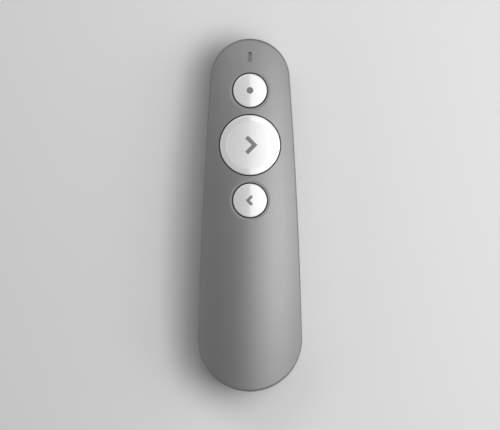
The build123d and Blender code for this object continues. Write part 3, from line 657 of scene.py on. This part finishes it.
class CLICKER_OT_buttons(bpy.types.Operator):
    """Finishes the three button caps and their marks"""

    bl_idname = "clicker.buttons"
    bl_label = "Finish buttons"

    def cap_finish(self, name, buttons):
        """White plastic with a clear polished skin over it."""
        return moulded(
            name,
            buttons.cap_colour,
            0.0006 * mm,
            tone=0.03,
            grain=4000,
            rough=buttons.cap_roughness,
            gloss=0.04,
            wear={
                "Worn colour": (0.7, 0.7, 0.69, 1.0),
                "Worn roughness": 0.2,
                "Amount": 0.15,
                "Patches per metre": 260.0,
            },
            IOR=1.7,
            Specular_IOR_Level=1.0,
            Coat_Roughness=0.04,
            Coat_IOR=1.8,
        )

    def paint_gap_shade(self, material, buttons, gap_shade_top):
        """Painted shade: matt black below the white skin of a cap, so that the gap round the button looks
        dark as if shaded.
        """
        tree = material.node_tree
        shader = tree.nodes["Principled BSDF"].inputs
        white = shader["Base Color"].links[0].from_socket
        gloss = shader["Roughness"].links[0].from_socket
        skin = math_node(tree, "GREATER_THAN", place_axes(tree)["Z"], gap_shade_top)
        shaded_skirt = blend_colours(tree, skin, solid_colour(buttons.gap_shade_colour), white)
        bare = math_node(tree, "SUBTRACT", 1.0, skin)
        feed(tree, shaded_skirt, shader["Base Color"])
        feed(tree, math_node(tree, "MAXIMUM", gloss, bare), shader["Roughness"])
        return skin

    def polished_ring(self, tree, buttons):
        """Mask that is 1 on the ring round the thumb dish and 0 in the dish."""
        low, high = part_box("next_button")
        middle = (low + high) / 2
        flat_place = vector_node(tree, "MULTIPLY", surface_place(tree), (1.0, 1.0, 0.0))
        reach = tree.nodes.new("ShaderNodeVectorMath")
        reach.operation = "DISTANCE"
        feed(tree, flat_place, reach.inputs[0])
        reach.inputs[1].default_value = (middle.x, middle.y, 0.0)
        matt_end = buttons.dish_radius - 0.3 * mm
        polish_start = buttons.dish_radius + 0.1 * mm
        return ramp_node(tree, reach.outputs["Value"], matt_end, polish_start)

    def execute(self, context):
        buttons = context.scene.clicker_buttons
        # Depth below each cap's top at which the painted gap shade begins
        gap_shade_depths = {"laser_button": 2.4 * mm, "next_button": 3.15 * mm, "back_button": 1.35 * mm}
        for cap, gap_shade_depth in gap_shade_depths.items():
            cap_plastic = self.cap_finish(f"{cap} plastic", buttons)
            tree = cap_plastic.node_tree
            skin = self.paint_gap_shade(cap_plastic, buttons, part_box(cap)[1].z - gap_shade_depth)
            polish = math_node(tree, "MULTIPLY", skin, buttons.polish)
            if cap == "next_button":
                polish = math_node(tree, "MULTIPLY", polish, self.polished_ring(tree, buttons))
            feed(tree, polish, tree.nodes["Principled BSDF"].inputs["Coat Weight"])
            paint(cap_plastic, cap)
        mark_plastic = moulded(
            "Mark plastic", buttons.mark_colour, 0.002 * mm, tone=0.12, grain=5000, rough=0.4
        )
        paint(mark_plastic, "laser_mark", "next_mark", "back_mark")
        return {"FINISHED"}


class CLICKER_OT_lights(bpy.types.Operator):
    """Finishes the status light, its pipe, the laser window and the laser module"""

    bl_idname = "clicker.lights"
    bl_label = "Finish lights"

    def execute(self, context):
        lights = context.scene.clicker_lights
        smoked = moulded(
            "Smoked lens", lights.lens_colour, 0.001 * mm, tone=0.1, grain=5000, rough=0.35, Coat_Weight=0.5
        )
        paint(smoked, "light_pipe")
        tinted = moulded(
            "Tinted window",
            lights.window_colour,
            0.0004 * mm,
            tone=0.1,
            grain=1500,
            rough=0.06,
            gloss=0.04,
            Transmission_Weight=0.85,
            IOR=1.49,
        )
        paint(tinted, "laser_window")
        clear = moulded(
            "Polished lens",
            (0.9, 0.93, 0.96),
            0.0002 * mm,
            tone=0.03,
            grain=1500,
            rough=0.03,
            gloss=0.02,
            Transmission_Weight=1.0,
            IOR=1.5,
        )
        paint(clear, "laser_lens")
        brass = drawn("Turned brass", lights.brass_colour, 0.004 * mm, rough=0.26, streaks=(150, 9000, 150))
        paint(brass, "laser_barrel")
        resin = moulded(
            "Light resin", (0.8, 0.76, 0.55), 0.002 * mm, tone=0.15, grain=6000, rough=0.2, Coat_Weight=0.4
        )
        paint(resin, "status_led")
        paint(plated_steel(), "laser_diode", "laser_pins")
        return {"FINISHED"}


class CLICKER_OT_board(bpy.types.Operator):
    """Finishes the circuit board and adds its pads, vias and traces"""

    bl_idname = "clicker.board"
    bl_label = "Dress board"

    def execute(self, context):
        board = context.scene.clicker_board
        mask = moulded(
            "Solder mask",
            board.mask_colour,
            0.006 * mm,
            tone=0.5,
            grain=2600,
            rough=0.28,
            gloss=0.15,
            Coat_Weight=0.3,
        )
        paint(mask, "circuit_board", "laser_driver")
        paint(moulded_resin(), "radio_chip", "power_chip", "power_coil")
        paint(plated_steel(), "radio_crystal")
        ceramic = moulded("Fired ceramic", (0.4, 0.27, 0.16), 0.004 * mm, tone=0.4, grain=8000, rough=0.5)
        paint(ceramic, "chip_antenna", "small_capacitors")
        board_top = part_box("circuit_board")[1].z
        chip_low, chip_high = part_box("radio_chip")
        chip_middle = (chip_low + chip_high) / 2
        pads = bmesh.new()
        pad_pitch = 0.8 * mm
        pad_length = 0.5 * mm
        pad_width = 0.35 * mm
        copper = 0.05 * mm
        pad_reach = 0.3 * mm
        pads_per_side = 5
        runs = [(step - (pads_per_side - 1) / 2) * pad_pitch for step in range(pads_per_side)]
        for run in runs:
            for side in (-1, 1):
                edge_x = chip_middle.x + side * (chip_high.x - chip_low.x + pad_reach) / 2
                edge_y = chip_middle.y + side * (chip_high.y - chip_low.y + pad_reach) / 2
                add_block(pads, edge_x, chip_middle.y + run, pad_length, pad_width, board_top, copper)
                add_block(pads, chip_middle.x + run, edge_y, pad_width, pad_length, board_top, copper)
        # The laser's pins meet the board from below
        pin_low, pin_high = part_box("laser_pins")
        pin_reach = 1.27 * mm
        pin_hole = 0.45 * mm
        pin_ring = 0.85 * mm
        for pin_x in (-pin_reach, pin_reach):
            pin_foot = Vector((pin_x, (pin_low.y + pin_high.y) / 2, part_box("circuit_board")[0].z))
            add_ring(pads, pin_hole, pin_ring, copper, pin_foot, -up, turns=32)

        # Each trace leaves its pad, turns into a lane of its own and ends at a via
        traces = bmesh.new()
        half_width = board.trace_width / 2
        pad_x = chip_low.x - pad_reach / 2
        first_lane = chip_low.x - 0.9 * mm
        lane_pitch = 0.5 * mm
        first_via = chip_middle.y + 10.6 * mm
        via_pitch = 0.7 * mm
        via_hole = 0.12 * mm
        via_radius = 0.28 * mm
        for step, run in enumerate(runs):
            lane_x = first_lane - (pads_per_side - 1 - step) * lane_pitch
            start_y = chip_middle.y + run
            via_y = first_via - step * via_pitch
            end_y = via_y - (via_hole + via_radius) / 2
            outline = [
                (pad_x, start_y - half_width, 0),
                (pad_x, start_y + half_width, 0),
                (lane_x + half_width, start_y + half_width, 0),
                (lane_x + half_width, end_y, 0),
                (lane_x - half_width, end_y, 0),
                (lane_x - half_width, start_y - half_width, 0),
            ]
            add_prism(traces, outline, Vector((0, 0, board_top)), up * board.trace_height)
            via_foot = Vector((lane_x, via_y, board_top))
            add_ring(pads, via_hole, via_radius, copper, via_foot, up, turns=24)
        new_piece("board_pads", pads, gilded_pads(), "housing")
        copper_lift = 2.2
        lighter = [value * copper_lift for value in board.mask_colour]
        trace_mask = moulded(
            "Mask over copper", lighter, 0.004 * mm, tone=0.4, grain=2600, rough=0.25, Coat_Weight=0.3
        )
        new_piece("board_traces", traces, trace_mask, "housing")
        return {"FINISHED"}


class CLICKER_OT_switches(bpy.types.Operator):
    """Finishes the three tactile switches and adds their soldered legs"""

    bl_idname = "clicker.switches"
    bl_label = "Dress switches"

    def make_dome(self, key):
        """Sprung steel dome with a dimple in its middle, which flattens under its stem."""
        low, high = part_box(f"{key}_dome")
        reach = (high.x - low.x) / 2
        height = high.z - low.z
        steel = 0.1 * mm
        dimple_radius = 0.5 * mm
        dimple_depth = 0.05 * mm
        steps = 18
        outside = []
        for step in range(steps + 1):
            radius = reach * (1 - step / steps)
            rise = height * (1 - (radius / reach) ** 2)
            sink = dimple_depth * max(0, 1 - (radius / dimple_radius) ** 2)
            outside.append((rise - sink, radius))
        crest = max(rise for rise, radius in outside)
        outside = [(rise * height / crest, radius) for rise, radius in outside]
        inside = [(rise - steel, radius) for rise, radius in outside if rise > steel]
        lip = (0, reach * math.sqrt(1 - steel / height))
        foot = Vector(((low.x + high.x) / 2, (low.y + high.y) / 2, low.z))
        mesh_data = bmesh.new()
        add_lathe(mesh_data, inside[::-1] + [lip] + outside, foot, up, turns=64)
        dome = new_piece(f"{key}_snap_dome", mesh_data, plated_steel(), "housing")
        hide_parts(f"{key}_dome")
        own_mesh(dome)

    def execute(self, context):
        leg_metal = bmesh.new()
        joints_metal = bmesh.new()
        board_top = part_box("circuit_board")[1].z
        leg_width = 0.7 * mm
        leg_thickness = 0.2 * mm
        leg_reach = 0.9 * mm
        leg_spread = 1.6 * mm
        knee = 0.35 * mm
        heel = 0.15 * mm
        shoulder = 0.7 * mm
        fillet_height = 0.32 * mm
        fillet = [
            (0, 0),
            (0, 0.62 * mm),
            (fillet_height * 0.4, 0.5 * mm),
            (fillet_height, 0.22 * mm),
            (fillet_height, 0),
        ]
        for key in ("laser", "next", "back"):
            paint(moulded_resin(), f"{key}_switch", f"{key}_stem")
            paint(plated_steel(), f"{key}_switch_plate")
            self.make_dome(key)
            low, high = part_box(f"{key}_switch")
            middle = (low + high) / 2
            for side in (-1, 1):
                edge = high.x if side > 0 else low.x
                for end in (-1, 1):
                    leg_y = middle.y + end * leg_spread
                    profile = [
                        (0, 0, shoulder),
                        (side * knee, 0, shoulder),
                        (side * knee, 0, leg_thickness),
                        (side * leg_reach, 0, leg_thickness),
                        (side * leg_reach, 0, 0),
                        (side * heel, 0, 0),
                        (side * heel, 0, shoulder - leg_thickness),
                        (0, 0, shoulder - leg_thickness),
                    ]
                    corner = Vector((edge, leg_y - leg_width / 2, board_top))
                    add_prism(leg_metal, profile, corner, nose_way * leg_width)
                    foot = Vector((edge + side * leg_reach, leg_y, board_top))
                    add_lathe(joints_metal, fillet, foot, up, turns=24)
        legs = new_piece("switch_legs", leg_metal, plated_steel(), "housing")
        bevel_edges(legs, 0.04 * mm)
        new_piece("switch_solder", joints_metal, solder_metal(), "housing")
        return {"FINISHED"}


class CLICKER_OT_cells(bpy.types.Operator):
    """Makes the two cells: bright can, printed sleeve and the ring that insulates the nub"""

    bl_idname = "clicker.cells"
    bl_label = "Make cells"

    def stroke(self, tree, across, along, mark_y, half_across, half_along):
        """Mask of one straight stroke of a printed sign."""
        in_width = math_node(tree, "COMPARE", across, 0.0, half_across)
        in_length = math_node(tree, "COMPARE", along, mark_y, half_along)
        return math_node(tree, "MULTIPLY", in_width, in_length)

    def sleeve_print(self, name, power, cell_x, band_start, band_way, mark_places):
        """Sleeve with a light band at the nub's end and a plus and a minus near the ends."""
        material, tree, shader = new_material(name, Coat_Weight=0.6, Coat_Roughness=0.08)
        axes = place_axes(tree)
        across = math_node(tree, "SUBTRACT", axes["X"], cell_x)
        along = axes["Y"]
        from_start = math_node(tree, "MULTIPLY", math_node(tree, "SUBTRACT", along, band_start), band_way)
        band = math_node(tree, "LESS_THAN", from_start, power.band_length)
        line_gap = 0.6 * mm
        half_line = 0.2 * mm
        line = math_node(tree, "COMPARE", from_start, power.band_length + line_gap, half_line)
        either = math_node(tree, "MAXIMUM", band, line)
        dark, light = solid_colour(power.sleeve_colour), solid_colour(power.band_colour)
        printed = blend_colours(tree, either, dark, light)
        half_stroke = 0.3 * mm
        half_reach = 1.1 * mm
        for mark_y, has_upright, ink in mark_places:
            sign = self.stroke(tree, across, along, mark_y, half_reach, half_stroke)
            if has_upright:
                upright = self.stroke(tree, across, along, mark_y, half_stroke, half_reach)
                sign = math_node(tree, "MAXIMUM", sign, upright)
            printed = blend_colours(tree, sign, printed, solid_colour(ink))
        values = {"Colour": printed, "Tone spread": 0.08, "Grain per metre": 1800.0, "Roughness": 0.3}
        grain = use_effect(tree, moulded_grain, values)
        join_shader(tree, shader, grain, grain["Height"], 0.003 * mm)
        return material

    def execute(self, context):
        power = context.scene.clicker_power
        washer_card = moulded("Washer card", (0.85, 0.85, 0.82), 0.01 * mm, tone=0.1, grain=2500, rough=0.7)
        washer_depth = 1.02 * mm
        washer_hole = 2.5 * mm
        washer_radius = 4.0 * mm
        washer_thickness = 0.2 * mm
        sleeve_thickness = 0.12 * mm
        mark_inset = 6.0 * mm
        white_ink = (0.75, 0.75, 0.75)
        for node, way in (("left_cell", nose_way), ("right_cell", -nose_way)):
            low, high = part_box(node)
            centre_x = (low.x + high.x) / 2
            centre_z = (low.z + high.z) / 2
            radius = (high.x - low.x) / 2
            length = high.y - low.y
            tip_y = high.y if way.y > 0 else low.y
            tip = Vector((centre_x, tip_y, centre_z))
            can_radius = radius - sleeve_thickness
            can_profile = [
                (0, 0),
                (0, 1.45 * mm),
                (0.08 * mm, 1.7 * mm),
                (0.3 * mm, 1.85 * mm),
                (1.05 * mm, 1.9 * mm),
                (1.15 * mm, 2.3 * mm),
                (1.25 * mm, 4.0 * mm),
                (1.1 * mm, 4.25 * mm),
                (1.15 * mm, 4.6 * mm),
                (1.6 * mm, can_radius - 0.15 * mm),
                (2.2 * mm, can_radius),
                (length - 0.9 * mm, can_radius),
                (length - 0.3 * mm, can_radius - 0.2 * mm),
                (length, can_radius - 0.8 * mm),
                (length, can_radius - 1.3 * mm),
                (length - 0.25 * mm, can_radius - 1.7 * mm),
                (length - 0.25 * mm, 0),
            ]
            can_data = bmesh.new()
            add_lathe(can_data, can_profile, tip, -way)
            can = new_piece(f"{node}_can", can_data, plated_steel(), "housing")
            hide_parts(node)
            sleeve_inner = can_radius + 0.01 * mm
            sleeve_profile = [
                (1.75 * mm, sleeve_inner),
                (1.5 * mm, sleeve_inner - 0.45 * mm),
                (1.38 * mm, sleeve_inner - 0.42 * mm),
                (1.5 * mm, radius - 0.3 * mm),
                (1.85 * mm, radius - 0.02 * mm),
                (2.3 * mm, radius),
                (length - 1.3 * mm, radius),
                (length - 0.8 * mm, radius - 0.06 * mm),
                (length - 0.8 * mm, sleeve_inner),
            ]
            sleeve_data = bmesh.new()
            add_lathe(sleeve_data, close_loop(sleeve_profile), tip, -way)
            marks = (
                (tip_y - way.y * mark_inset, True, power.sleeve_colour),
                (tip_y - way.y * (length - mark_inset), False, white_ink),
            )
            print_material = self.sleeve_print(f"{node} sleeve", power, centre_x, tip_y, -way.y, marks)
            new_piece(f"{node}_sleeve", sleeve_data, print_material, "housing")
            washer_data = bmesh.new()
            foot = tip - way * washer_depth
            add_ring(washer_data, washer_hole, washer_radius, washer_thickness, foot, -way)
            new_piece(f"{node}_washer", washer_data, washer_card, "housing")
        return {"FINISHED"}


class CLICKER_OT_contacts(bpy.types.Operator):
    """Finishes the spring and plate contacts and solders their tabs to the board"""

    bl_idname = "clicker.contacts"
    bl_label = "Finish contacts"

    def execute(self, context):
        paint(plated_steel(), "positive_contact", "negative_contact", "bridge_contact")
        solder_data = bmesh.new()
        board_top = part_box("circuit_board")[1].z
        mound_height = 0.42 * mm
        mound = [
            (0, 0),
            (0, 0.95 * mm),
            (0.12 * mm, 0.88 * mm),
            (0.3 * mm, 0.68 * mm),
            (mound_height, 0.35 * mm),
            (mound_height, 0),
        ]
        for node in ("positive_contact", "negative_contact"):
            low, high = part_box(node)
            foot = Vector(((low.x + high.x) / 2, high.y, board_top))
            add_lathe(solder_data, mound, foot, up, turns=40)
        new_piece("contact_solder", solder_data, solder_metal(), "housing")
        return {"FINISHED"}


class CLICKER_OT_receiver(bpy.types.Operator):
    """Finishes the stored USB receiver and adds its four gilded contacts"""

    bl_idname = "clicker.receiver"
    bl_label = "Dress receiver"

    def execute(self, context):
        power = context.scene.clicker_power
        cap_plastic = moulded(
            "Receiver cap plastic",
            power.receiver_colour,
            0.003 * mm,
            tone=0.3,
            grain=3500,
            rough=0.32,
            wear={"Worn colour": (0.07, 0.07, 0.07, 1.0), "Amount": 0.3},
        )
        paint(cap_plastic, "receiver_cap")
        paint(moulded_resin(), "receiver_tongue")
        paint(plated_steel(), "receiver_plug")
        low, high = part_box("receiver_tongue")
        middle_y = (low.y + high.y) / 2
        strips = bmesh.new()
        start_x = low.x + 0.8 * mm
        strip_width = 1.1 * mm
        strip_height = 0.12 * mm
        strip_lengths = {-3.5 * mm: 8.0 * mm, -1.0 * mm: 7.0 * mm, 1.0 * mm: 7.0 * mm, 3.5 * mm: 8.0 * mm}
        for strip_y, reach in strip_lengths.items():
            middle_x = start_x + reach / 2
            add_block(strips, middle_x, middle_y + strip_y, reach, strip_width, high.z, strip_height)
        gold = new_piece("receiver_contacts", strips, gilded_pads(), "housing")
        bevel_edges(gold, 0.05 * mm)
        return {"FINISHED"}


class CLICKER_OT_screws(bpy.types.Operator):
    """Finishes the case screws and the board screws"""

    bl_idname = "clicker.screws"
    bl_label = "Finish screws"

    def execute(self, context):
        even = (2500, 2500, 2500)
        oxide = drawn("Black oxide steel", (0.12, 0.12, 0.125), 0.003 * mm, rough=0.36, streaks=even)
        paint(oxide, "case_screws", "board_screws")
        return {"FINISHED"}


class CLICKER_OT_stage(bpy.types.Operator):
    """Lays the floor, hangs the lamps and sets up the camera above the clicker"""

    bl_idname = "clicker.stage"
    bl_label = "Set stage"

    def lay_floor(self, stage):
        """Plain pale floor that holds the shadow and can be looked through from below."""
        half_size = 4.0
        mesh_data = bmesh.new()
        bmesh.ops.create_grid(mesh_data, x_segments=8, y_segments=8, size=half_size)
        mesh = bpy.data.meshes.new("floor")
        mesh_data.to_mesh(mesh)
        mesh_data.free()
        floor = bpy.data.objects.new("floor", mesh)
        drop = 0.1 * mm
        floor.location.z = -drop
        bpy.context.scene.collection.objects.link(floor)
        material, tree, shader = new_material("Floor card", Specular_IOR_Level=0.0)
        values = grain_values(stage.floor_colour, tone=0.02, grain=900, rough=0.7, gloss=0.05)
        grain = use_effect(tree, moulded_grain, values)
        join_shader(tree, shader, grain, grain["Height"], 0.01 * mm)
        facing = tree.nodes.new("ShaderNodeNewGeometry")
        kind_of_ray = tree.nodes.new("ShaderNodeLightPath")
        clear = tree.nodes.new("ShaderNodeBsdfTransparent")
        choice = tree.nodes.new("ShaderNodeMixShader")
        see_through = math_node(
            tree, "MAXIMUM", facing.outputs["Backfacing"], kind_of_ray.outputs["Is Shadow Ray"]
        )
        feed(tree, see_through, choice.inputs[0])
        feed(tree, tree.nodes["Principled BSDF"].outputs[0], choice.inputs[1])
        feed(tree, clear.outputs[0], choice.inputs[2])
        feed(tree, choice.outputs[0], tree.nodes["Material Output"].inputs["Surface"])
        mesh.materials.append(material)

    def hang_lamp(self, name, middle, target, across, along, radiance):
        """Soft rectangular lamp with a given brightness, turned towards a target."""
        lamp_data = bpy.data.lights.new(name, "AREA")
        lamp_data.shape = "RECTANGLE"
        lamp_data.size = across
        lamp_data.size_y = along
        lamp_data.energy = radiance * math.pi * across * along
        lamp = bpy.data.objects.new(name, lamp_data)
        lamp.location = middle
        lamp.rotation_euler = (target - middle).to_track_quat("-Z", "Y").to_euler()
        lamp.visible_camera = False
        bpy.context.scene.collection.objects.link(lamp)

    def hang_overhead(self, name, level, across_degrees, along_degrees, radiance):
        """Level lamp that fills a range of angles off the vertical, across the clicker and along it."""
        left, right = (level * math.tan(math.radians(angle)) for angle in across_degrees)
        tail, nose = (level * math.tan(math.radians(angle)) for angle in along_degrees)
        middle = Vector(((left + right) / 2, (tail + nose) / 2, level))
        below = Vector((middle.x, middle.y, 0))
        self.hang_lamp(name, middle, below, right - left, nose - tail, radiance)

    def execute(self, context):
        stage = context.scene.clicker_stage
        self.lay_floor(stage)
        # Degrees off the vertical, across the clicker and along it, and brightness
        overhead = {
            "key_inner": ((0, 12), (-20, 30), 0.32 * stage.key_radiance),
            "key_middle": ((12, 26), (-20, 30), 0.55 * stage.key_radiance),
            "key_main": ((26, 40), (-20, 20), stage.key_radiance),
            "key_outer": ((40, 55), (-20, 20), 0.38 * stage.key_radiance),
            "nose_left": ((-40, 0), (27, 50), 1.9 * stage.nose_radiance),
            "nose_right": ((26, 40), (20, 30), 2.7 * stage.nose_radiance),
            "tail_right": ((0, 40), (-45, -20), stage.tail_radiance),
        }
        for name, (across, along, radiance) in overhead.items():
            self.hang_overhead(name, stage.lamp_height, across, along, radiance)
        middle = Vector((0, 0, 12 * mm))
        side_reach, side_level = 1.0, 0.42
        side_size = (1.0, 0.6)
        for name, side, radiance in (("right", 1, stage.right_radiance), ("left", -1, stage.left_radiance)):
            place = Vector((side * side_reach, 0, side_level))
            self.hang_lamp(f"{name}_upright", place, middle, *side_size, radiance)
        under_place = Vector((0, 0, -1.5))
        under_size = (1.6, 1.6)
        self.hang_lamp("under_lamp", under_place, middle, *under_size, stage.under_radiance)
        world = bpy.data.worlds.new("Even light")
        world.use_nodes = True
        background = world.node_tree.nodes["Background"]
        background.inputs["Color"].default_value = (1.0, 1.0, 1.0, 1.0)
        background.inputs["Strength"].default_value = stage.fill_level
        context.scene.world = world
        camera_data = bpy.data.cameras.new("camera")
        camera_data.lens = stage.lens_length
        camera_data.sensor_width = 36.0
        camera_data.clip_start = 0.01
        camera = bpy.data.objects.new("camera", camera_data)
        frame_width = 0.19320
        widest_level = 11 * mm
        camera.location = (0, 0, widest_level + frame_width * stage.lens_length / camera_data.sensor_width)
        context.scene.collection.objects.link(camera)
        context.scene.camera = camera
        context.scene.view_settings.view_transform = "Standard"
        return {"FINISHED"}


class CLICKER_PT_panel(bpy.types.Panel):
    """Lists the clicker's settings and the steps that build it"""

    bl_idname = "CLICKER_PT_panel"
    bl_label = "Clicker"
    bl_space_type = "VIEW_3D"
    bl_region_type = "UI"
    bl_category = "Clicker"

    def draw(self, context):
        layout = self.layout
        for attribute, settings_class in settings_classes.items():
            box = layout.box()
            box.label(text=settings_class.__doc__)
            settings = getattr(context.scene, attribute)
            for name in settings_class.__annotations__:
                box.prop(settings, name)
        for operator in operators:
            layout.operator(operator.bl_idname)


operators = (
    CLICKER_OT_shells,
    CLICKER_OT_cover_pad,
    CLICKER_OT_buttons,
    CLICKER_OT_lights,
    CLICKER_OT_board,
    CLICKER_OT_switches,
    CLICKER_OT_cells,
    CLICKER_OT_contacts,
    CLICKER_OT_receiver,
    CLICKER_OT_screws,
    CLICKER_OT_stage,
)


def register():
    """Registers the settings, the operators and the panel."""
    for attribute, settings_class in settings_classes.items():
        bpy.utils.register_class(settings_class)
        setattr(bpy.types.Scene, attribute, bpy.props.PointerProperty(type=settings_class))
    for operator in operators:
        bpy.utils.register_class(operator)
    bpy.utils.register_class(CLICKER_PT_panel)


def unregister():
    """Takes back what register added."""
    bpy.utils.unregister_class(CLICKER_PT_panel)
    for operator in reversed(operators):
        bpy.utils.unregister_class(operator)
    for attribute, settings_class in settings_classes.items():
        delattr(bpy.types.Scene, attribute)
        bpy.utils.unregister_class(settings_class)


def main():
    """Builds the whole scene."""
    register()
    for operator in operators:
        family, step = operator.bl_idname.split(".")
        getattr(getattr(bpy.ops, family), step)()


if __name__ == "__main__":
    main()
